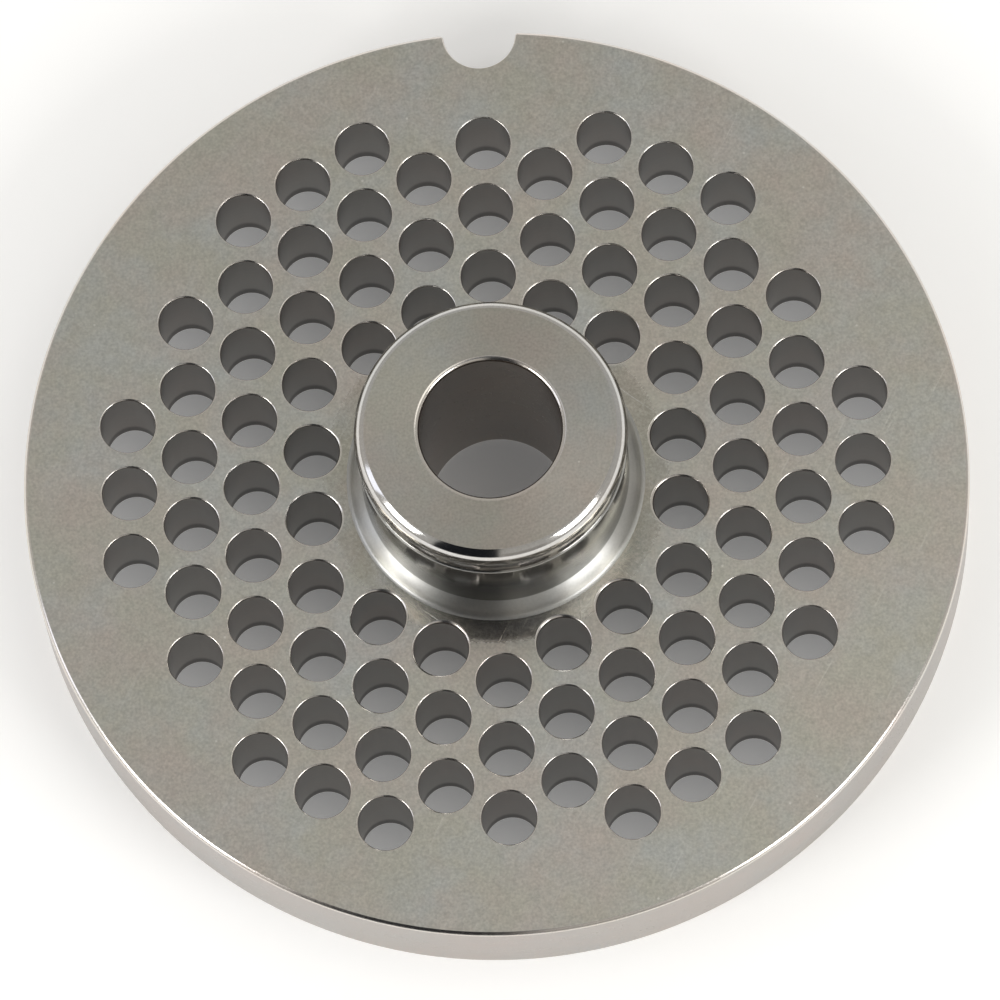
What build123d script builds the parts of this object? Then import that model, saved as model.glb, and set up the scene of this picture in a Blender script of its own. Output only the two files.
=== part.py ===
"""Meat grinder plate with a raised hub: a perforated disc, one solid piece.

Frame: origin on the bore axis in the plane of the cutting face, which lies flat at z = 0.
The hub rises along +Z and the locating notch in the rim points along +Y. Sizes in mm.
"""
from build123d import *
import math
import os

# Disc
disc_diameter = 82.0
disc_thickness = 8.7
rim_top_chamfer = 0.3
rim_bottom_chamfer = 0.25

# Perforation: a triangular lattice with one column of holes pointing at the notch
hole_diameter = 4.76
hole_pitch = 6.12
plain_rim_width = 6.0
hub_land = 0.25

# Hub
hub_diameter = 23.2
hub_height = 14.0
lip_overhang = 0.12
lip_round = 1.7
lip_face_inset = 0.92
lip_side = 0.15
neck_depth = 0.2
neck_bottom = 4.5

# Foot of the hub: a rounded shoulder, which a small fillet joins to a shallow ring in the disc
foot_height = 1.7
foot_width = 1.5
foot_lean = 72.0
root_fillet = 0.4
ring_width = 1.85
ring_depth = 0.3

# Bore for the round end of the feed screw
bore_diameter = 12.2
bore_top_chamfer = 0.4
bore_bottom_chamfer = 0.15

# Notch for the locating pin of the housing
notch_width = 6.3
notch_depth = 3.3

# Length by which a cutting body runs past the faces that it cuts
overrun = 1.0

# Radii and heights that follow from the sizes above
disc_radius = disc_diameter / 2
hole_radius = hole_diameter / 2
bore_radius = bore_diameter / 2
hub_radius = hub_diameter / 2
lip_radius = hub_radius + lip_overhang
neck_radius = hub_radius - neck_depth
hub_face_radius = lip_radius - lip_face_inset
ring_root_radius = hub_radius + foot_width
ring_radius = ring_root_radius + ring_width
ring_root_height = disc_thickness - ring_depth
hub_top = disc_thickness + hub_height

BASE_ALIGN = (Align.CENTER, Align.CENTER, Align.MIN)


def arc_rise(radius, run):
    """Height of an arc that starts upright and leaves its side by the given run."""
    return math.sqrt(radius**2 - (radius - run) ** 2)


def turned_blank():
    """Disc, ring, hub and bore, turned together from one half section."""
    ring_round = (ring_width**2 + ring_depth**2) / (2 * ring_depth)
    ring_slope = 2 * math.degrees(math.atan2(ring_depth, ring_width))
    foot_top = ring_root_height + foot_height
    lip_bottom = hub_top - arc_rise(lip_round, lip_face_inset)
    lip_underside = lip_bottom - lip_side
    neck_height = lip_underside - lip_overhang - neck_depth
    neck_foot = hub_top - neck_bottom

    with BuildPart() as blank:
        with BuildSketch(Plane.XZ):
            with BuildLine():
                disc = Polyline(
                    (bore_radius, bore_bottom_chamfer),
                    (bore_radius + bore_bottom_chamfer, 0),
                    (disc_radius - rim_bottom_chamfer, 0),
                    (disc_radius, rim_bottom_chamfer),
                    (disc_radius, disc_thickness - rim_top_chamfer),
                    (disc_radius - rim_top_chamfer, disc_thickness),
                    (ring_radius, disc_thickness),
                )
                ring = RadiusArc(disc @ 1, (ring_root_radius, ring_root_height), -ring_round)
                root = JernArc(ring @ 1, ring % 1, root_fillet, -ring_slope - foot_lean)
                foot = TangentArc(root @ 1, (hub_radius, foot_top), tangent=root % 1)
                side = Polyline(
                    foot @ 1,
                    (hub_radius, neck_foot),
                    (neck_radius, neck_foot + neck_depth),
                    (neck_radius, neck_height),
                    (lip_radius, lip_underside),
                    (lip_radius, lip_bottom),
                )
                lip = RadiusArc(side @ 1, (hub_face_radius, hub_top), -lip_round)
                Polyline(
                    lip @ 1,
                    (bore_radius + bore_top_chamfer, hub_top),
                    (bore_radius, hub_top - bore_top_chamfer),
                    (bore_radius, bore_bottom_chamfer),
                )
            make_face()
        revolve(axis=Axis.Z)
    return blank.part


def hole_centres():
    """Lattice points between the hub's foot and the plain rim, in columns along Y."""
    inner_limit = ring_root_radius + hub_land + hole_radius
    outer_limit = disc_radius - plain_rim_width - hole_radius
    column_step = hole_pitch * math.sqrt(3) / 2
    columns = int(outer_limit / column_step)
    rows = int(outer_limit / hole_pitch) + 1
    centres = []
    for column in range(-columns, columns + 1):
        x = column * column_step
        shift = hole_pitch / 2 if column % 2 else 0.0
        for row in range(-rows, rows + 1):
            y = row * hole_pitch + shift
            if inner_limit <= math.hypot(x, y) <= outer_limit:
                centres.append((x, y))
    return centres


def drills():
    """One drill for each hole, through the whole disc."""
    depth = disc_thickness + 2 * overrun
    drill = Cylinder(hole_radius, depth, align=BASE_ALIGN)
    return [Pos(x, y, -overrun) * drill for x, y in hole_centres()]


def notch_cutter():
    """Round-ended cutter that leaves the notch open at the rim."""
    notch_radius = notch_width / 2
    depth = disc_thickness + 2 * overrun
    centre = disc_radius - notch_depth + notch_radius
    bottom = Cylinder(notch_radius, depth, align=BASE_ALIGN)
    mouth = Box(notch_width, notch_depth + overrun, depth, align=(Align.CENTER, Align.MIN, Align.MIN))
    return Pos(0, centre, -overrun) * (bottom + mouth)


def grinder_plate():
    """The finished plate as one solid."""
    plate = turned_blank() - drills() - notch_cutter()
    return plate.solids()[0]


os.makedirs("parts", exist_ok=True)
plate = grinder_plate()
plate.label = "grinder_plate"
export_step(plate, "parts/grinder_plate.step")
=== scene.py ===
"""Looks of a meat grinder plate: a perforated steel disc with a turned hub, on a white table.

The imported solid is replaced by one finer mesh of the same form. Sizes in the classes are in
millimetres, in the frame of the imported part: the cutting face lies on z = 0, the hub rises
along +Z and the notch in the rim points along +Y.
"""
import logging
import math
from collections.abc import Mapping, Sequence
from dataclasses import dataclass, field
from enum import Enum
from typing import Any

import bpy
from mathutils import Matrix, Vector, noise
from mathutils.geometry import delaunay_2d_cdt


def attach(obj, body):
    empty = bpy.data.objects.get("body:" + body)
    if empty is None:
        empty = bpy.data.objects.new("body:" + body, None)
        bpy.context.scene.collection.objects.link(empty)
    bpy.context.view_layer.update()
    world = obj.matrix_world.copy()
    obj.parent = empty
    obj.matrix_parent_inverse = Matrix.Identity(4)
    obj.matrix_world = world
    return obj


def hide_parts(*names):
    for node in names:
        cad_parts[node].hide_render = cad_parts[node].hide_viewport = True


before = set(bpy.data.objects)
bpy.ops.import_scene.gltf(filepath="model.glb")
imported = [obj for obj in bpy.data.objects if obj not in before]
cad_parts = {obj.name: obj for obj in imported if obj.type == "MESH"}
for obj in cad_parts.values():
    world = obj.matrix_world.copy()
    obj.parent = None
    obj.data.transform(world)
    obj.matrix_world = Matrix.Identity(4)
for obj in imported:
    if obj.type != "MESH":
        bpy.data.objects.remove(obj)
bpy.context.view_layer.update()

MM = 0.001
LOG = logging.getLogger("grinder_plate")

Plan = tuple[float, float]
Place = tuple[float, float, float]
Tree = bpy.types.NodeTree
Socket = bpy.types.NodeSocket

# Patterns that the finishes share. A pair of limits says at which values of its noise a pattern
# begins and has its full strength. Sizes are in millimetres.
STAIN_LIMITS = (0.42, 0.68)
WARM_STAIN_SHIFT = 57.0
TONE_LIMITS = (0.25, 0.75)
GLOSS_LIMITS = (0.6, 1.4)
GLOSS_CHANGE = 0.15
MATT_BLOTCH = 0.6
# Radius at which marks round the axis have their stated length.
MARKED_RADIUS = 9.0
# Two families of scratches cross each other, each with a direction in radians and a shift. They
# are 0.12 mm wide and about 7 mm long. Real ones are finer, and wouldn't show.
SCRATCH_FAMILIES = ((0.9, 0.0), (-0.5, 31.0))
SCRATCH_CELL = (0.3, 7.0, 7.0)
SCRATCH_LIMITS = (0.74, 0.82)
SCRATCH_DEPTH = 0.004
SCRATCH_COLOUR = "#DCD9D4"
# Specks are tiny nicks drawn as painted glints: pale dots 0.1 to 0.2 mm wide, one in a few
# millimetres. Their limits are shares of the spacing.
GLINT_SPECK_SPACING = 2.6
GLINT_SPECK_LIMITS = (0.03, 0.05)
GLINT_SPECK_COLOUR = "#E6E3DC"
# Turn of the gloss, as a share of a whole one, that lays it across the grooves.
ACROSS_GROOVES = 0.25
# Tone of the painted shade low in a hole's wall, and the shares of its height between which it
# fades out.
PAINTED_SHADE_TONE = 0.45
PAINTED_SHADE_FADE = (0.6, 1.3)
# Share of the face's roughness that the polished ring has, and half the width of its border.
RING_GLOSS = 0.45
RING_BORDER = 0.3
# Distance in metres at which the fill takes two points for one, corner in degrees from which an
# edge is drawn sharp, and slack in millimetres for points on the border of the foot's ring.
MERGE_DISTANCE = 1e-7
SHARP_CORNER = 35
RING_SLACK = 0.01


def linear_colour(hex_code: str) -> tuple[float, float, float, float]:
    """Turns an sRGB hex colour into the linear one that a shader takes.

    Args:
        hex_code: Six hex digits after a hash sign.

    Returns:
        Linear red, green, blue and an alpha of one.
    """
    channels = (int(hex_code[i:i + 2], 16) / 255 for i in (1, 3, 5))
    linear = [c / 12.92 if c <= 0.04045 else ((c + 0.055) / 1.055) ** 2.4 for c in channels]
    return (*linear, 1.0)


def polar(radius: float, turn: float, x: float = 0.0, y: float = 0.0) -> Plan:
    """Place in plan at a radius and a direction in radians from a centre."""
    return x + radius * math.cos(turn), y + radius * math.sin(turn)


def add_object(name: str, data: bpy.types.ID) -> bpy.types.Object:
    """Puts a new object into the scene."""
    made = bpy.data.objects.new(name, data)
    bpy.context.scene.collection.objects.link(made)
    return made


def empty_material(name: str) -> bpy.types.Material:
    """Makes a material whose nodes are still to come."""
    material = bpy.data.materials.new(name)
    material.use_nodes = True
    material.node_tree.nodes.clear()
    return material


def add_node(tree: Tree, kind: str, inputs: Mapping[int | str, Any] | None = None,
             **settings: Any) -> bpy.types.Node:
    """Adds a node with its settings, input values and links.

    Args:
        tree: Node tree that gets the node.
        kind: Blender's name of the node type.
        inputs: Value or linked socket for each input, by name or number.
        **settings: Properties of the node itself.

    Returns:
        The new node.
    """
    node = tree.nodes.new(kind)
    for name, value in settings.items():
        setattr(node, name, value)
    for key, value in (inputs or {}).items():
        if isinstance(value, bpy.types.NodeSocket):
            tree.links.new(value, node.inputs[key])
        else:
            node.inputs[key].default_value = value
    return node


def noise_field(tree: Tree, place: Socket, size: float, detail: float,
                roughness: float = 0.5) -> Socket:
    """Draws noise whose blots are about as wide as the size."""
    return add_node(tree, "ShaderNodeTexNoise", {
        "Vector": place, "Scale": 1 / size, "Detail": detail,
        "Roughness": roughness}).outputs["Fac"]


def ramp(tree: Tree, value: Socket, limits: Plan, results: Plan = (0.0, 1.0),
         curve: str = "LINEAR") -> Socket:
    """Leads a value from one result to the other between its limits, and holds it beyond."""
    return add_node(tree, "ShaderNodeMapRange", {
        0: value, 1: limits[0], 2: limits[1], 3: results[0], 4: results[1]},
        interpolation_type=curve).outputs[0]


def combine(tree: Tree, operation: str, first: Socket, second: Socket | float) -> Socket:
    """Joins two values by an operation of the math node."""
    return add_node(tree, "ShaderNodeMath", {0: first, 1: second}, operation=operation).outputs[0]


def scale(tree: Tree, vector: Socket, factor: Socket | float) -> Socket:
    """Multiplies a vector or a colour by a factor."""
    return add_node(tree, "ShaderNodeVectorMath", {0: vector, "Scale": factor},
                    operation="SCALE").outputs[0]


def mix(tree: Tree, share: Socket, base: Any, top: Any) -> Socket:
    """Lays a share of one colour over another."""
    return add_node(tree, "ShaderNodeMix", {0: share, 6: base, 7: top},
                    data_type="RGBA").outputs[2]


def axis_distance(tree: Tree, place: Socket) -> Socket:
    """Measures how far a place is from the axis."""
    flat = add_node(tree, "ShaderNodeVectorMath", {0: place, 1: (1, 1, 0)}, operation="MULTIPLY")
    return add_node(tree, "ShaderNodeVectorMath", {0: flat.outputs[0]},
                    operation="LENGTH").outputs["Value"]


def plan_direction(tree: Tree, parts: bpy.types.Node) -> Socket:
    """Finds the direction in plan, in radians from +X, of a vector split into its parts."""
    return combine(tree, "ARCTAN2", parts.outputs[1], parts.outputs[0])


class Surface(Enum):
    """Surfaces of the plate, numbered as the material slots of its mesh."""

    CLAMPING_FACE = 0
    CUTTING_FACE = 1
    RIM_SIDE = 2
    WORN_EDGE = 3
    HOLE_WALL = 4
    HUB_END = 5
    HUB_SIDE = 6
    HUB_NECK = 7
    HUB_LIP = 8
    HUB_FOOT = 9
    BORE_WALL = 10


class Marks(Enum):
    """Direction of the tool marks on a surface."""

    AROUND_WALL = "rings that follow each other along Z"
    CONCENTRIC = "rings round the axis"
    MATT = "no direction"


@dataclass(frozen=True)
class SteelFinish:
    """One machined finish of the plate's hardened tool steel.

    All sizes of the patterns are in millimetres. The steel itself is one warm grey metal, so the
    finishes differ in gloss, tool marks, staining, wear and painted shade.
    """

    name: str
    colour: str
    cool_stain: str
    warm_stain: str
    roughness: float
    marks: Marks = Marks.AROUND_WALL
    mark_spacing: float = 0.35
    mark_length: float = 14.0
    mark_depth: float = 0.0
    mark_shade: float = 0.03
    cloud_size: float = 9.0
    cloud_shade: float = 0.5
    grain_size: float = 0.22
    grain_shade: float = 0.06
    grain_depth: float = 0.0
    wave_size: float = 4.0
    wave_depth: float = 0.0
    scratches: float = 0.0
    glint_specks: float = 0.0
    anisotropy: float = 0.0
    polished_ring: float = 0.0
    painted_shade_height: float = 0.0


class FinishNodes:
    """Nodes of one finish: patterns sized in real millimetres, and the steel that they mark."""

    def __init__(self, finish: SteelFinish) -> None:
        """Draws the patterns and joins them to the steel.

        Args:
            finish: Finish to be built. Its material is then ready for use.
        """
        self.finish = finish
        self.material = empty_material(finish.name)
        tree = self.tree = self.material.node_tree
        self.place = scale(tree, add_node(tree, "ShaderNodeTexCoord").outputs["Object"], 1 / MM)
        self.grain = noise_field(tree, self.place, finish.grain_size, detail=2.0)
        self.lines = self._tool_marks()
        self.scratch = self._scratches()
        shader = add_node(tree, "ShaderNodeBsdfPrincipled", {
            "Base Color": self._colour(), "Metallic": 1.0, "Roughness": self._roughness(),
            "Normal": self._relief(), "Anisotropic": finish.anisotropy})
        if finish.anisotropy:
            # Grooves run round the axis and spread the light across themselves.
            tangent = add_node(tree, "ShaderNodeTangent", direction_type="RADIAL", axis="Z")
            tree.links.new(tangent.outputs[0], shader.inputs["Tangent"])
            shader.inputs["Anisotropic Rotation"].default_value = ACROSS_GROOVES
        add_node(tree, "ShaderNodeOutputMaterial", {"Surface": shader.outputs[0]})

    def _tool_marks(self) -> Socket:
        """Draws the tool marks as noise round one half, drawn out into lines.

        Returns:
            The marks.
        """
        tree, place, finish = self.tree, self.place, self.finish
        if finish.marks is Marks.MATT:
            return noise_field(tree, place, MATT_BLOTCH, detail=1.0)
        across, along = 1 / finish.mark_spacing, 1 / finish.mark_length
        stretch = (along, along, across)
        if finish.marks is Marks.CONCENTRIC:
            parts = add_node(tree, "ShaderNodeSeparateXYZ", {0: place})
            place = add_node(tree, "ShaderNodeCombineXYZ", {
                0: axis_distance(tree, place), 1: plan_direction(tree, parts)}).outputs[0]
            stretch = (across, MARKED_RADIUS * along, 1)
        space = add_node(tree, "ShaderNodeVectorMath", {0: place, 1: stretch},
                         operation="MULTIPLY").outputs[0]
        return noise_field(tree, space, size=1.0, detail=3.0, roughness=0.6)

    def _scratches(self) -> Socket | None:
        """Draws a few stray scratches.

        Returns:
            A value that is one on a scratch, or None where the finish has none.
        """
        if not self.finish.scratches:
            return None
        tree, both = self.tree, None
        for turn, shift in SCRATCH_FAMILIES:
            turned = add_node(tree, "ShaderNodeMapping", {
                "Vector": self.place, "Rotation": (0, 0, turn), "Location": (shift, 0, 0),
                "Scale": SCRATCH_CELL}, vector_type="TEXTURE").outputs[0]
            streaks = noise_field(tree, turned, size=1.0, detail=0.0)
            line = ramp(tree, streaks, SCRATCH_LIMITS)
            both = line if both is None else combine(tree, "MAXIMUM", both, line)
        return both

    def _colour(self) -> Socket:
        """Lays stains, grain, tool marks, painted shade low in holes, scratches and painted glints
        over the steel's colour.

        Returns:
            The colour.
        """
        tree, place, finish = self.tree, self.place, self.finish
        colour = linear_colour(finish.colour)
        for stain, shift in ((finish.cool_stain, 0.0), (finish.warm_stain, WARM_STAIN_SHIFT)):
            spot = add_node(tree, "ShaderNodeVectorMath", {0: place, 1: (shift, shift, 0)},
                            operation="ADD").outputs[0]
            cloud = noise_field(tree, spot, finish.cloud_size, detail=4.0, roughness=0.6)
            share = ramp(tree, cloud, STAIN_LIMITS, (0.0, finish.cloud_shade))
            colour = mix(tree, share, colour, linear_colour(stain))
        for pattern, shade in ((self.grain, finish.grain_shade), (self.lines, finish.mark_shade)):
            colour = scale(tree, colour, ramp(tree, pattern, TONE_LIMITS, (1 - shade, 1 + shade)))
        if finish.painted_shade_height:
            # Painted shade: the wall darkens towards its lower end, up to this height, for the
            # shadow where it meets the table.
            height = add_node(tree, "ShaderNodeSeparateXYZ", {0: place}).outputs[2]
            low, high = (finish.painted_shade_height * share for share in PAINTED_SHADE_FADE)
            shade_tone = ramp(tree, height, (low, high), (PAINTED_SHADE_TONE, 1.0), "SMOOTHSTEP")
            colour = scale(tree, colour, shade_tone)
        if self.scratch is not None:
            share = combine(tree, "MULTIPLY", self.scratch, finish.scratches)
            colour = mix(tree, share, colour, linear_colour(SCRATCH_COLOUR))
        # Pale specks: painted glints on tiny nicks.
        if finish.glint_specks:
            cells = add_node(tree, "ShaderNodeTexVoronoi", {"Vector": place,
                                                            "Scale": 1 / GLINT_SPECK_SPACING})
            near = ramp(tree, cells.outputs["Distance"], GLINT_SPECK_LIMITS, (finish.glint_specks, 0.0))
            colour = mix(tree, near, colour, linear_colour(GLINT_SPECK_COLOUR))
        return colour

    def _roughness(self) -> Socket:
        """Varies the gloss a little with the grain and the tool marks.

        Returns:
            The roughness.
        """
        tree, rough, ring = self.tree, self.finish.roughness, self.finish.polished_ring
        both = combine(tree, "ADD", self.grain, self.lines)
        result = ramp(tree, both, GLOSS_LIMITS, (rough * (1 - GLOSS_CHANGE),
                                                 rough * (1 + GLOSS_CHANGE)))
        if not ring:
            return result
        # The ring round the hub was turned and polished, so it is glossier than the face.
        inside = ramp(tree, axis_distance(tree, self.place),
                      (ring - RING_BORDER, ring + RING_BORDER), (RING_GLOSS, 1.0))
        return combine(tree, "MULTIPLY", result, inside)

    def _relief(self) -> Socket:
        """Raises a slow waviness, tool marks, grain and scratches by their real heights.

        Returns:
            The surface normal.
        """
        tree, finish, normal = self.tree, self.finish, None
        wave = noise_field(tree, self.place, finish.wave_size, detail=1.0)
        for height, depth in ((wave, finish.wave_depth), (self.lines, finish.mark_depth),
                              (self.grain, finish.grain_depth), (self.scratch, -SCRATCH_DEPTH)):
            if height is None or not depth:
                continue
            inputs = {"Height": height, "Strength": 1.0, "Distance": depth * MM}
            if normal is not None:
                inputs["Normal"] = normal
            normal = add_node(tree, "ShaderNodeBump", inputs).outputs[0]
        return normal or add_node(tree, "ShaderNodeNewGeometry").outputs["Normal"]


# Surface-ground steel, tumbled afterwards: an even satin grey with soft cloudy stains from use.
GROUND_FACE = SteelFinish(
    name="ground_and_tumbled_steel", colour="#BBB8AC", cool_stain="#BBBDBB", warm_stain="#C1B6AC",
    roughness=0.34, marks=Marks.MATT, cloud_shade=0.8, grain_shade=0.15, grain_depth=0.002,
    scratches=0.10, glint_specks=0.5, polished_ring=14.9)
# Rotary-ground steel: the flat side that the knife sweeps, with fine lines round the axis.
LAPPED_FACE = SteelFinish(
    name="rotary_ground_steel", colour="#C4C1BA", cool_stain="#BFC1C2", warm_stain="#C6BDB6",
    roughness=0.28, marks=Marks.CONCENTRIC, mark_spacing=0.22, mark_length=30.0,
    mark_depth=0.0015, mark_shade=0.06, scratches=0.3)
# Cylindrically ground steel: the rim, paler than the faces because it mirrors the table.
GROUND_RIM = SteelFinish(
    name="cylindrically_ground_steel", colour="#B0AAA4", cool_stain="#ACACAB",
    warm_stain="#B6A8A1", roughness=0.3, mark_spacing=0.3, mark_length=12.0, mark_depth=0.0008)
# Burnished steel: edges that files, cloths and stacking have rubbed bright.
BURNISHED_EDGE = SteelFinish(
    name="burnished_steel_edge", colour="#D6D1C9", cool_stain="#D0D1D2", warm_stain="#DCCFC8",
    roughness=0.2, marks=Marks.MATT, mark_shade=0.0, grain_shade=0.04, wave_size=1.2,
    wave_depth=0.006)
# Drilled and reamed steel: duller walls with feed rings, darkened towards their lower end by
# painted shade.
REAMED_HOLE = SteelFinish(
    name="reamed_steel", colour="#A8A5A0", cool_stain="#A5A4A2", warm_stain="#ABA19B",
    roughness=0.40, mark_length=3.0, mark_depth=0.003, mark_shade=0.06, painted_shade_height=1.2)
# Face-turned steel: rings too fine to see one by one, which draw light out into faint fans.
TURNED_END = SteelFinish(
    name="face_turned_steel", colour="#B0ADA2", cool_stain="#ADAEAB", warm_stain="#B4AAA1",
    roughness=0.33, marks=Marks.CONCENTRIC, mark_spacing=0.18, mark_depth=0.0012,
    mark_shade=0.04, cloud_shade=0.8, grain_shade=0.12, glint_specks=0.5, anisotropy=0.5)
# Fine-turned steel: grooves round the hub smear what it mirrors up and down, and leave it sharp
# round the hub, so lamps and dark gaps become upright stripes. Its colour, darker than the other
# steel's, is painted shade that darkens what it mirrors.
TURNED_SIDE = SteelFinish(
    name="fine_turned_steel", colour="#9A9A97", cool_stain="#949594", warm_stain="#9C968D",
    roughness=0.16, mark_depth=0.0008, wave_size=3.0, wave_depth=0.003, anisotropy=0.9)
# Polished steel in the neck: a mirror for the holes below it, a little streaky.
POLISHED_NECK = SteelFinish(
    name="polished_neck_steel", colour="#BCBAB6", cool_stain="#B4B5B4", warm_stain="#BDB2AA",
    roughness=0.15, mark_depth=0.0008, wave_size=2.5, wave_depth=0.005)
# Polished steel: the rounded lip, nearly a mirror, slightly wavy from the cloth.
POLISHED_LIP = SteelFinish(
    name="polished_lip_steel", colour="#C7C6C3", cool_stain="#C2C4C5", warm_stain="#C9C2BC",
    roughness=0.11, mark_depth=0.001, wave_size=2.5, wave_depth=0.006)
# Blended steel: the rounded shoulder of the foot, rubbed round with fine abrasive, spreads each
# lamp over its rounding into one broad gleam.
BLENDED_FOOT = SteelFinish(
    name="abrasive_blended_steel", colour="#B6B5B1", cool_stain="#B2B4B3", warm_stain="#B9B3AD",
    roughness=0.40, mark_spacing=0.3, mark_length=10.0, mark_depth=0.0006, wave_size=3.0,
    wave_depth=0.003, anisotropy=0.8)
# Bored steel: a slightly streaked wall, whose darker colour is painted shade inside the bore.
BORED_WALL = SteelFinish(
    name="bored_steel", colour="#9E968E", cool_stain="#999692", warm_stain="#A19289",
    roughness=0.3, mark_spacing=0.5, mark_length=5.0, mark_depth=0.004, mark_shade=0.06)

FINISHES: dict[Surface, SteelFinish] = {
    Surface.CLAMPING_FACE: GROUND_FACE,
    Surface.CUTTING_FACE: LAPPED_FACE,
    Surface.RIM_SIDE: GROUND_RIM,
    Surface.WORN_EDGE: BURNISHED_EDGE,
    Surface.HOLE_WALL: REAMED_HOLE,
    Surface.HUB_END: TURNED_END,
    Surface.HUB_SIDE: TURNED_SIDE,
    Surface.HUB_NECK: POLISHED_NECK,
    Surface.HUB_LIP: POLISHED_LIP,
    Surface.HUB_FOOT: BLENDED_FOOT,
    Surface.BORE_WALL: BORED_WALL,
}


class PlateMesh:
    """Points and faces of the plate, gathered part by part in millimetres."""

    def __init__(self) -> None:
        """Starts with nothing."""
        self.points: list[Place] = []
        self.faces: list[tuple[int, ...]] = []
        self.surfaces: list[Surface] = []
        self.slopes: dict[int, Vector] = {}

    def loop(self, points: Sequence[Place]) -> list[int]:
        """Adds points.

        Args:
            points: Their places.

        Returns:
            Their numbers, in the same order.
        """
        first = len(self.points)
        self.points.extend(points)
        return list(range(first, len(self.points)))

    def strip(self, lower: Sequence[int], upper: Sequence[int], surface: Surface) -> None:
        """Joins two closed loops of equal length with a band of quads.

        Args:
            lower: Loop on the right-hand side of the direction of travel, seen from outside.
            upper: The other loop.
            surface: Surface that the band belongs to.
        """
        count = len(lower)
        for i in range(count):
            j = (i + 1) % count
            self.faces.append((lower[i], lower[j], upper[j], upper[i]))
            self.surfaces.append(surface)

    def fill(self, border: Sequence[int], openings: Sequence[Sequence[int]],
             extra: Sequence[Sequence[int]], surface: Surface, facing_up: bool) -> None:
        """Fills a region between its border and its openings.

        Args:
            border: Closed loop round the region.
            openings: Convex closed loops inside it, which stay open.
            extra: Open runs of points in the region, whose neighbours stay joined.
            surface: Surface that the faces belong to.
            facing_up: True if the faces look along +Z.
        """
        ids: list[int] = []
        owners: list[int] = []
        edges: list[tuple[int, int]] = []
        for number, run in enumerate([border, *openings, *extra]):
            first = len(ids)
            ids.extend(run)
            owners.extend([number] * len(run))
            edges.extend((first + i, first + i + 1) for i in range(len(run) - 1))
            if number <= len(openings):
                edges.append((len(ids) - 1, first))
        plan = [Vector(self.points[i][:2]) for i in ids]
        outline = plan[:len(border)]
        made, _, triangles, origin, _, _ = delaunay_2d_cdt(plan, edges, [], 0, MERGE_DISTANCE)
        for triangle in triangles:
            corners = [origin[i][0] for i in triangle]
            sides = {owners[i] for i in corners}
            # A triangle with all its corners on one loop lies in an opening or at the border.
            if len(sides) == 1:
                number = sides.pop()
                centre = sum((made[i] for i in triangle), Vector((0, 0))) / 3
                if 0 < number <= len(openings):
                    continue
                if number == 0 and not self._encloses(outline, centre):
                    continue
            face = tuple(ids[i] for i in corners)
            self.faces.append(face if facing_up else face[::-1])
            self.surfaces.append(surface)

    @staticmethod
    def _encloses(outline: Sequence[Vector], place: Vector) -> bool:
        """Tells whether a closed line in plan runs round a place."""
        odd = False
        for a, b in zip(outline, [*outline[1:], outline[0]]):
            if (a.y > place.y) != (b.y > place.y):
                if place.x < a.x + (place.y - a.y) / (b.y - a.y) * (b.x - a.x):
                    odd = not odd
        return odd

    def build(self, name: str) -> bpy.types.Object:
        """Makes the Blender object, in metres, with smooth faces and crisp borders.

        Args:
            name: Name of the object.

        Returns:
            The object, linked to the scene.
        """
        mesh = bpy.data.meshes.new(name)
        mesh.from_pydata([Vector(p) * MM for p in self.points], [], self.faces)
        mesh.polygons.foreach_set("material_index", [s.value for s in self.surfaces])
        mesh.polygons.foreach_set("use_smooth", [True] * len(self.faces))
        for surface in Surface:
            mesh.materials.append(FinishNodes(FINISHES[surface]).material)
        mesh.validate()
        self._crease(mesh)
        self._bend_normals(mesh)
        mesh.update()
        return add_object(name, mesh)

    def _crease(self, mesh: bpy.types.Mesh) -> None:
        """Draws the edges between two surfaces and the sharp corners as sharp."""
        mesh.set_sharp_from_angle(angle=math.radians(SHARP_CORNER))
        sides: dict[tuple[int, int], int] = {}
        borders: set[tuple[int, int]] = set()
        for polygon in mesh.polygons:
            for key in polygon.edge_keys:
                if sides.setdefault(key, polygon.material_index) != polygon.material_index:
                    borders.add(key)
        for edge in mesh.edges:
            if edge.key in borders:
                edge.use_edge_sharp = True

    def _bend_normals(self, mesh: bpy.types.Mesh) -> None:
        """Gives the clamping face the slope of the turned form, not of its triangles."""
        normals = [Vector((0, 0, 0))] * len(mesh.loops)
        for polygon in mesh.polygons:
            if polygon.material_index != Surface.CLAMPING_FACE.value:
                continue
            for index in polygon.loop_indices:
                vertex = mesh.loops[index].vertex_index
                normals[index] = self.slopes.get(vertex, Vector((0, 0, 1)))
        mesh.normals_split_custom_set(normals)


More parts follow.
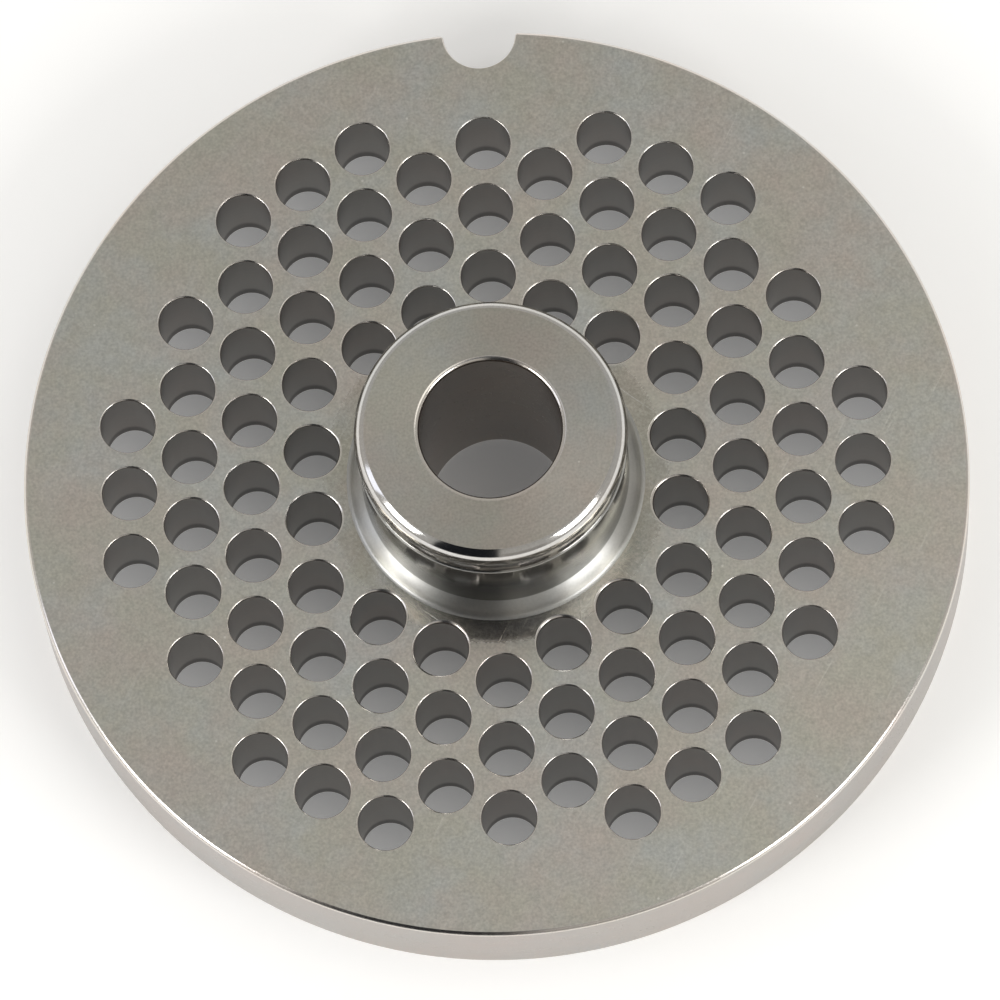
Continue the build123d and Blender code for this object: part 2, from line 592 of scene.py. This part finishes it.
@dataclass(frozen=True)
class LocatingNotch:
    """Round notch in the rim, which a pin of the housing keeps from turning."""

    width: float = 6.3
    depth: float = 3.3
    corner: float = 0.35
    break_share: float = 0.4
    segments: int = 30
    corner_segments: int = 6

    def outline(self, rim_radius: float, inset: float, rim_segments: int) -> list[Plan]:
        """Runs once round the disc, through the notch, at a distance inside the wall.

        Args:
            rim_radius: Radius of the disc.
            inset: Distance inside the rim. Inside the notch it is a share of that.
            rim_segments: Number of pieces of the rim's arc.

        Returns:
            The closed line, anticlockwise from the notch's left corner.
        """
        radius = self.width / 2
        centre = Vector((0.0, rim_radius - self.depth + radius))
        reach, span = rim_radius - self.corner, radius + self.corner
        y = (reach**2 - span**2 + centre.y**2) / (2 * centre.y)
        x = math.sqrt(reach**2 - y**2)
        start = math.atan2(y, -x)
        line: list[Plan] = []
        for i in range(rim_segments + 1):
            turn = start + i / rim_segments * (2 * math.pi - 2 * (start - math.pi / 2))
            line.append(polar(rim_radius - inset, turn))
        corner = Vector((x, y))
        out, back = corner.normalized(), (centre - corner).normalized()
        sweep = out.angle(back)
        rounding = []
        for i in range(1, self.corner_segments + 1):
            share = i / self.corner_segments
            side = Matrix.Rotation(share * sweep, 2) @ out
            gap = self.corner - inset * (1 + (self.break_share - 1) * share)
            rounding.append(corner + gap * side)
        line.extend((p.x, p.y) for p in rounding)
        low = (rounding[-1] - centre).angle(Vector((0, -1)))
        notch_radius = radius + inset * self.break_share
        for i in range(1, self.segments):
            turn = low * (1 - 2 * i / self.segments)
            line.append((notch_radius * math.sin(turn), centre.y - notch_radius * math.cos(turn)))
        line.extend((-p.x, p.y) for p in reversed(rounding))
        return line


@dataclass(frozen=True)
class FootRing:
    """Shallow ring turned into the disc round the hub's foot."""

    root_radius: float = 12.95
    root_height: float = 8.68
    outer_radius: float = 14.95
    segments: int = 256
    samples: int = 10
    hole_gap: float = 0.12

    def height(self, radius: float, face: float) -> float:
        """Height of the disc's upper side at a radius.

        Args:
            radius: Distance from the axis.
            face: Height of the flat face.

        Returns:
            The height.
        """
        if radius >= self.outer_radius:
            return face
        bend, run = self._round(face), self.outer_radius - radius
        return face - bend + math.sqrt(bend**2 - run**2)

    def _round(self, face: float) -> float:
        """Radius of the ring's section, which leaves the face without a corner."""
        width, depth = self.outer_radius - self.root_radius, face - self.root_height
        return (width**2 + depth**2) / (2 * depth)

    def slope(self, x: float, y: float, face: float) -> Vector:
        """Normal of the disc's upper side at a place in plan."""
        radius, step = math.hypot(x, y), 0.004
        rise = (self.height(radius + step, face) - self.height(radius - step, face)) / (2 * step)
        return Vector((-rise * x / radius, -rise * y / radius, 1)).normalized()

    def levels(self) -> list[float]:
        """Radii at which the ring's form is sampled."""
        step = (self.outer_radius - self.root_radius) / self.samples
        return [self.root_radius + i * step for i in range(1, self.samples + 1)]


@dataclass(frozen=True)
class CuttingHoles:
    """Holes that the meat is pressed through, on a triangular lattice.

    The width of a hole's rounded edge wanders: by which share, how fast along the edge, and at
    which distance from the hole's centre and level of the noise it is read.
    """

    diameter: float = 4.76
    pitch: float = 6.12
    nearest: float = 15.73
    farthest: float = 32.62
    inner_band: float = 1.0
    edge: float = 0.12
    worn_edge: float = 0.26
    wander_share: float = 0.45
    wander_rate: float = 0.35
    wander_reach: float = 2.0
    wander_level: float = 3.0
    bends: tuple[int, ...] = (0, 30, 60, 90)
    segments: int = 48
    inner_segments: int = 72

    def centres(self) -> list[Plan]:
        """Lattice points between the hub's foot and the plain rim, in columns along Y."""
        step = self.pitch * math.sqrt(3) / 2
        columns = int(self.farthest / step)
        rows = int(self.farthest / self.pitch) + 1
        found = []
        for column in range(-columns, columns + 1):
            shift = self.pitch / 2 if column % 2 else 0.0
            for row in range(-rows, rows + 1):
                x, y = column * step, row * self.pitch + shift
                if self.nearest <= math.hypot(x, y) <= self.farthest:
                    found.append((x, y))
        return found

    def is_inner(self, x: float, y: float) -> bool:
        """Tells whether a hole is one of those next to the hub."""
        return math.hypot(x, y) < self.nearest + self.inner_band

    def rounding(self, x: float, y: float, turn: float) -> float:
        """Width of a hole's rounded upper edge at one place of it.

        Args:
            x: Centre of the hole.
            y: Centre of the hole.
            turn: Direction from the centre, in radians.

        Returns:
            The width, in millimetres.
        """
        place = Vector((*polar(self.wander_reach, turn, x, y), self.wander_level))
        width = self.edge * (1 + self.wander_share * noise.noise(place * self.wander_rate))
        if self.is_inner(x, y):
            towards_hub = -math.cos(turn - math.atan2(y, x))
            width += (self.worn_edge - self.edge) * max(0.0, towards_hub) ** 2
        return width


@dataclass(frozen=True)
class PerforatedDisc:
    """Disc of the plate: rim, notch, two flat faces and the cutting holes.

    Nip and ease are the distances at which the points beside a broken edge's corners lie.
    """

    radius: float = 41.0
    thickness: float = 8.7
    top_break: float = 0.3
    bottom_break: float = 0.25
    nip: float = 0.02
    ease: float = 0.03
    rim_segments: int = 360
    notch: LocatingNotch = field(default_factory=LocatingNotch)
    ring: FootRing = field(default_factory=FootRing)
    holes: CuttingHoles = field(default_factory=CuttingHoles)

    def build(self, mesh: PlateMesh, foot: Sequence[int], bore: Sequence[int]) -> None:
        """Builds the disc between two loops of the hub.

        Args:
            mesh: Mesh that gets the faces.
            foot: Loop at the foot of the hub.
            bore: Loop at the lower end of the bore.
        """
        top, bottom = self._rim(mesh)
        upper, lower = [], []
        for x, y in self.holes.centres():
            high, low = self._hole(mesh, x, y)
            upper.append(high)
            lower.append(low)
        self._clamping_face(mesh, top, upper, foot)
        mesh.fill(bottom, [bore, *lower], [], Surface.CUTTING_FACE, facing_up=False)

    def _rim(self, mesh: PlateMesh) -> tuple[list[int], list[int]]:
        """Builds the wall of the rim and of the notch, with broken edges.

        Args:
            mesh: Mesh that gets the faces.

        Returns:
            The loops that bound the clamping face and the cutting face.
        """
        top, low, nip, ease = self.top_break, self.bottom_break, self.nip, self.ease
        shoulder = self.thickness - top
        levels = [(low + nip, 0.0), (low - ease, nip), (nip, low - nip), (0.0, low + nip),
                  (0.0, self.thickness / 2), (0.0, shoulder - nip), (nip, shoulder + ease),
                  (top - ease, self.thickness - nip), (top + nip, self.thickness)]
        loops = []
        for inset, height in levels:
            outline = self.notch.outline(self.radius, inset, self.rim_segments)
            loops.append(mesh.loop([(x, y, height) for x, y in outline]))
        for i in range(len(loops) - 1):
            wall = levels[i][0] == levels[i + 1][0] == 0.0
            mesh.strip(loops[i], loops[i + 1], Surface.RIM_SIDE if wall else Surface.WORN_EDGE)
        return loops[-1], loops[0]

    def _hole(self, mesh: PlateMesh, x: float, y: float) -> tuple[list[int], list[int]]:
        """Builds one hole: a rounded upper edge and a plain wall with a sharp lower edge.

        Args:
            mesh: Mesh that gets the faces.
            x: Centre of the hole.
            y: Centre of the hole.

        Returns:
            The hole's loops in the clamping face and in the cutting face.
        """
        inner, radius = self.holes.is_inner(x, y), self.holes.diameter / 2
        count = self.holes.inner_segments if inner else self.holes.segments
        turns = [2 * math.pi * i / count for i in range(count)]
        widths = [self.holes.rounding(x, y, turn) for turn in turns]
        heights = [self.ring.height(math.hypot(*polar(radius + width, turn, x, y)),
                                    self.thickness) for turn, width in zip(turns, widths)]
        loops = []
        for bend in map(math.radians, self.holes.bends):
            lean, drop = 1 - math.sin(bend), 1 - math.cos(bend)
            loops.append(mesh.loop([
                (*polar(radius + width * lean, turn, x, y), height - width * drop)
                for turn, width, height in zip(turns, widths, heights)]))
        for high, low in zip(loops, loops[1:]):
            mesh.strip(high, low, Surface.WORN_EDGE)
        foot = mesh.loop([(*polar(radius, turn, x, y), 0.0) for turn in turns])
        mesh.strip(loops[-1], foot, Surface.HOLE_WALL)
        return loops[0], foot

    def _clamping_face(self, mesh: PlateMesh, rim: list[int], holes: list[list[int]],
                       foot: Sequence[int]) -> None:
        """Fills the upper side from the rim to the foot of the hub.

        Args:
            mesh: Mesh that gets the faces.
            rim: Loop inside the rim's broken edge.
            holes: Loops round the holes.
            foot: Loop at the foot of the hub.
        """
        runs = []
        count = self.ring.segments
        reach = self.holes.diameter / 2 + self.holes.worn_edge + self.ring.hole_gap
        close = [c for c in self.holes.centres() if self.holes.is_inner(*c)]
        for radius in self.ring.levels():
            run: list[Place] = []
            height = self.ring.height(radius, self.thickness)
            for i in range(count + 1):
                x, y = polar(radius, 2 * math.pi * i / count)
                free = all(math.hypot(x - a, y - b) > reach for a, b in close)
                if free and i < count:
                    run.append((x, y, height))
                elif run:
                    runs.append(mesh.loop(run))
                    run = []
        for loop in [list(foot), *holes, *runs]:
            for index in loop:
                x, y, _ = mesh.points[index]
                if math.hypot(x, y) < self.ring.outer_radius + RING_SLACK:
                    mesh.slopes[index] = self.ring.slope(x, y, self.thickness)
        mesh.fill(rim, [foot, *holes], runs, Surface.CLAMPING_FACE, facing_up=True)


@dataclass(frozen=True)
class TurnedHub:
    """Hub of the plate, turned from one profile, with the bore through it.

    Nip and ease are the distances at which the points beside a corner of the profile lie.
    """

    root_radius: float = 12.95
    root_height: float = 8.68
    root_fillet: float = 0.4
    foot_top: float = 10.1
    foot_lean: float = 66.0
    ring_slope: float = 1.146
    side_radius: float = 11.6
    neck_radius: float = 11.4
    neck_bottom: float = 18.2
    lip_radius: float = 11.72
    lip_underside: float = 21.04
    lip_round: float = 1.7
    face_radius: float = 10.8
    top: float = 22.7
    bore_radius: float = 6.1
    bore_top_break: float = 0.4
    bore_bottom_break: float = 0.15
    nip: float = 0.02
    ease: float = 0.03
    fillet_steps: int = 8
    shoulder_steps: int = 14
    lip_steps: int = 14
    bore_break_steps: int = 6
    segments: int = 256

    def _foot(self) -> list[tuple[float, float, Surface]]:
        """Half section of the foot: a small fillet from the ring, then a rounded shoulder."""
        lean, slope = math.radians(self.foot_lean), math.radians(self.ring_slope)
        bend = self.root_fillet
        centre_x = self.root_radius - bend * math.sin(slope)
        centre_z = self.root_height + bend * math.cos(slope)
        points = []
        for i in range(self.fillet_steps):
            turn = -slope + (lean + slope) * i / self.fillet_steps
            points.append((centre_x - bend * math.sin(turn), centre_z - bend * math.cos(turn),
                           Surface.HUB_FOOT))
        x, z = centre_x - bend * math.sin(lean), centre_z - bend * math.cos(lean)
        run, rise = x - self.side_radius, self.foot_top - z
        chord = math.atan2(rise, run)
        shoulder = math.hypot(run, rise) / (2 * math.sin(lean - chord))
        for i in range(self.shoulder_steps):
            turn = lean - 2 * (lean - chord) * i / self.shoulder_steps
            points.append((x - shoulder * (math.sin(lean) - math.sin(turn)),
                           z + shoulder * (math.cos(turn) - math.cos(lean)), Surface.HUB_FOOT))
        return points

    def profile(self) -> list[tuple[float, float, Surface]]:
        """Half section from the foot over the end face and down the bore.

        Returns:
            Radius, height and the surface that follows, point by point.
        """
        side, neck, wall = Surface.HUB_SIDE, Surface.HUB_NECK, Surface.BORE_WALL
        lip, end, worn = Surface.HUB_LIP, Surface.HUB_END, Surface.WORN_EDGE
        side_x, neck_x, lip_x = self.side_radius, self.neck_radius, self.lip_radius
        neck_low, lip_low, nip, ease = self.neck_bottom, self.lip_underside, self.nip, self.ease
        dip, hang = side_x - neck_x, lip_x - neck_x
        points = self._foot()
        points += [(side_x, self.foot_top, side),
                   (side_x, (self.foot_top + neck_low) / 2, side),
                   (side_x, neck_low - ease, side),
                   (side_x - nip, neck_low + ease, side),
                   (neck_x + nip, neck_low + dip - ease, neck),
                   (neck_x, neck_low + dip + 2 * nip, neck),
                   (neck_x, lip_low - hang - 2 * nip, neck),
                   (neck_x + ease, lip_low - hang + ease, neck),
                   (lip_x - ease, lip_low - ease, neck),
                   (lip_x, lip_low + (nip + ease), lip)]
        lip_centre = lip_x - self.lip_round
        last = math.acos((self.face_radius - lip_centre) / self.lip_round)
        lip_bottom = self.top - self.lip_round * math.sin(last)
        for i in range(self.lip_steps + 1):
            bend = last * i / self.lip_steps
            points.append((lip_centre + self.lip_round * math.cos(bend),
                           lip_bottom + self.lip_round * math.sin(bend), lip))
        points[-1] = (self.face_radius, self.top, end)
        bore, high, low = self.bore_radius, self.bore_top_break, self.bore_bottom_break
        for i in range(self.bore_break_steps):
            bend = math.radians(90 / self.bore_break_steps * i)
            points.append((bore + high * (1 - math.sin(bend)),
                           self.top - high * (1 - math.cos(bend)), worn))
        points += [(bore, self.top - high, wall), (bore, self.top / 2, wall),
                   (bore, low, worn), (bore + low, 0.0, worn)]
        return points

    def build(self, mesh: PlateMesh) -> tuple[list[int], list[int]]:
        """Turns the profile round the axis.

        Args:
            mesh: Mesh that gets the faces.

        Returns:
            The loops at the foot of the hub and at the lower end of the bore.
        """
        turns = [2 * math.pi * i / self.segments for i in range(self.segments)]
        profile = self.profile()
        loops = [mesh.loop([(*polar(radius, turn), height) for turn in turns])
                 for radius, height, _ in profile]
        for i in range(len(loops) - 1):
            mesh.strip(loops[i], loops[i + 1], profile[i][2])
        return loops[0], loops[-1]


@dataclass(frozen=True)
class GrinderPlate:
    """The whole plate, one solid piece of steel."""

    disc: PerforatedDisc = field(default_factory=PerforatedDisc)
    hub: TurnedHub = field(default_factory=TurnedHub)

    def build(self) -> bpy.types.Object:
        """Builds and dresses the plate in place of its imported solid.

        Returns:
            The plate.
        """
        mesh = PlateMesh()
        foot, bore = self.hub.build(mesh)
        self.disc.build(mesh, foot, bore)
        plate = mesh.build("plate")
        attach(plate, "root")
        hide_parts("grinder_plate")
        return plate


@dataclass(frozen=True)
class Softbox:
    """Rectangular lamp with a diffuser, aimed at the plate.

    Angles are in degrees, the lamp's size and its distance in metres.
    """

    name: str
    azimuth: float
    elevation: float
    width: float
    height: float
    radiance: float
    colour: str
    distance: float = 0.7

    def build(self) -> bpy.types.Object:
        """Hangs the lamp. Its azimuth is the direction in plan, anticlockwise from +X.

        Returns:
            The lamp.
        """
        lamp = bpy.data.lights.new(self.name, "AREA")
        lamp.shape = "RECTANGLE"
        lamp.size, lamp.size_y = self.width, self.height
        lamp.color = linear_colour(self.colour)[:3]
        lamp.energy = self.radiance * math.pi * self.width * self.height
        turn, rise = math.radians(self.azimuth), math.radians(self.elevation)
        out = Vector((*polar(math.cos(rise), turn), math.sin(rise)))
        hung = add_object(self.name, lamp)
        hung.matrix_world = Matrix.Translation(out * self.distance) @ out.to_track_quat(
            "Z", "Y").to_matrix().to_4x4()
        return hung


@dataclass(frozen=True)
class Panel:
    """Part of the room with a tone of its own, as the plate sees it.

    Directions are in degrees, anticlockwise from +X, between -180 and 180. Rises are elevations.
    """

    left: float
    right: float
    low: float
    high: float
    colour: str
    softness: float = 2.0

    def share(self, tree: Tree, turn: Socket, height: Socket) -> Socket:
        """Masks the panel's part of the sky.

        Args:
            tree: Node tree of the world.
            turn: Direction in plan, in radians.
            height: Sine of the elevation.

        Returns:
            A value that is one inside the panel.
        """
        soft, share = self.softness, None
        for value, measure, outside, inside in (
                (turn, float, self.left, self.left + soft),
                (turn, float, self.right, self.right - soft),
                (height, math.sin, self.low - soft, self.low),
                (height, math.sin, self.high + soft, self.high)):
            edge = ramp(tree, value, (measure(math.radians(outside)),
                                      measure(math.radians(inside))))
            share = edge if share is None else combine(tree, "MULTIPLY", share, edge)
        return share


@dataclass(frozen=True)
class Studio:
    """White table, soft surroundings, lamps and the camera.

    The table glows by itself, dimly under the plate and brighter outwards: its two strengths are
    those at the two radii of its ramp, in millimetres. The ceiling's tone takes over from the
    walls' between the two sines of elevation of its own ramp.
    """

    table_colour: str = "#F4F3F1"
    table_glow: Plan = (0.08, 0.40)
    glow_ramp: Plan = (0.0, 82.0)
    table_reach: float = 6000.0
    table_drop: float = 0.02
    zenith: str = "#B9B8B4"
    horizon: str = "#C4C2BE"
    ceiling_ramp: Plan = (0.2, 0.85)
    lamps: tuple[Softbox, ...] = (
        Softbox("left_softbox", 210, 27, 0.25, 0.28, 8.0, "#FFFFFF"),
        Softbox("right_softbox", 322, 27, 0.32, 0.28, 7.0, "#FFFFFF"),
        Softbox("top_softbox", 8, 71, 0.30, 0.30, 1.1, "#FFFEFA"),
        Softbox("side_softbox", 184, 30, 0.16, 0.50, 1.4, "#E8EEFF"),
    )
    panels: tuple[Panel, ...] = (
        Panel(-128, -88, -3, 62, "#1E2024"),
        Panel(-88, -60, -3, 18, "#A5A29E"),
        Panel(-145, -90, 62, 88, "#3C3E43"),
        Panel(-90, -50, 62, 88, "#64686F"),
        Panel(112, 152, 62, 84, "#F4F8FF"),
    )
    camera_place: Place = (19.036, -243.012, 787.485)
    camera_target: Place = (0.273, -2.119, 8.7)
    camera_roll: float = -6.88
    lens: float = 339.2
    sensor_width: float = 36.0
    clip: Plan = (0.01, 50.0)

    def build(self) -> None:
        """Builds the surroundings, the lamps and the camera."""
        self._table()
        self._surroundings()
        for lamp in self.lamps:
            lamp.build()
            LOG.info("lamp %s", lamp.name)
        self._camera()
        bpy.context.scene.view_settings.view_transform = "Standard"

    def _table(self) -> None:
        """Lays the white table top, which stays white to the camera and in the metal."""
        size, low = self.table_reach * MM, -self.table_drop * MM
        mesh = bpy.data.meshes.new("table")
        mesh.from_pydata([(-size, -size, low), (size, -size, low), (size, size, low),
                          (-size, size, low)], [], [(0, 1, 2, 3)])
        table = add_object("table", mesh)
        material = empty_material("matt_white_laminate")
        tree = material.node_tree
        matt = add_node(tree, "ShaderNodeBsdfDiffuse", {"Color": linear_colour(self.table_colour)})
        path = add_node(tree, "ShaderNodeLightPath").outputs
        seen = combine(tree, "MAXIMUM", path["Is Camera Ray"], path["Is Glossy Ray"])
        seen = combine(tree, "MAXIMUM", seen, path["Is Transmission Ray"])
        place = add_node(tree, "ShaderNodeTexCoord").outputs["Object"]
        far = add_node(tree, "ShaderNodeVectorMath", {0: place}, operation="LENGTH")
        near_radius, far_radius = (radius * MM for radius in self.glow_ramp)
        glow = ramp(tree, far.outputs["Value"], (near_radius, far_radius), self.table_glow)
        strength = combine(tree, "MULTIPLY", seen, glow)
        light = add_node(tree, "ShaderNodeEmission", {"Strength": strength})
        both = add_node(tree, "ShaderNodeAddShader", {0: matt.outputs[0], 1: light.outputs[0]})
        # The table has no underside, so the plate's cutting face shows from below.
        below = add_node(tree, "ShaderNodeNewGeometry").outputs["Backfacing"]
        clear = add_node(tree, "ShaderNodeBsdfTransparent")
        sides = add_node(tree, "ShaderNodeMixShader", {0: below, 1: both.outputs[0],
                                                       2: clear.outputs[0]})
        add_node(tree, "ShaderNodeOutputMaterial", {"Surface": sides.outputs[0]})
        mesh.materials.append(material)

    def _surroundings(self) -> None:
        """Paints the room: a grey ceiling, paler walls, and the panels before them."""
        world = bpy.data.worlds.new("studio")
        bpy.context.scene.world = world
        world.use_nodes = True
        tree = world.node_tree
        tree.nodes.clear()
        way = add_node(tree, "ShaderNodeTexCoord").outputs["Generated"]
        parts = add_node(tree, "ShaderNodeSeparateXYZ", {0: way})
        height, turn = parts.outputs[2], plan_direction(tree, parts)
        colour = mix(tree, ramp(tree, height, self.ceiling_ramp, curve="SMOOTHSTEP"),
                     linear_colour(self.horizon), linear_colour(self.zenith))
        for panel in self.panels:
            colour = mix(tree, panel.share(tree, turn, height), colour,
                         linear_colour(panel.colour))
        # Past the table's edge the camera sees pure white.
        path = add_node(tree, "ShaderNodeLightPath").outputs
        colour = mix(tree, path["Is Camera Ray"], colour, (1.0, 1.0, 1.0, 1.0))
        light = add_node(tree, "ShaderNodeBackground", {"Color": colour, "Strength": 1.0})
        add_node(tree, "ShaderNodeOutputWorld", {"Surface": light.outputs[0]})

    def _camera(self) -> None:
        """Sets up the camera at the photograph's place and angle."""
        lens = bpy.data.cameras.new("camera")
        lens.lens, lens.sensor_width = self.lens, self.sensor_width
        lens.clip_start, lens.clip_end = self.clip
        place, target = Vector(self.camera_place) * MM, Vector(self.camera_target) * MM
        aim = (target - place).to_track_quat("-Z", "Y").to_matrix().to_4x4()
        camera = add_object("camera", lens)
        camera.matrix_world = (Matrix.Translation(place) @ aim
                               @ Matrix.Rotation(math.radians(self.camera_roll), 4, "Z"))
        bpy.context.scene.camera = camera


def main() -> None:
    """Builds the plate and the studio round it."""
    logging.basicConfig(level=logging.INFO, format="%(message)s")
    plate = GrinderPlate().build()
    LOG.info("piece %s: %d faces, %d points", plate.name, len(plate.data.polygons),
             len(plate.data.vertices))
    Studio().build()


if __name__ == "__main__":
    main()
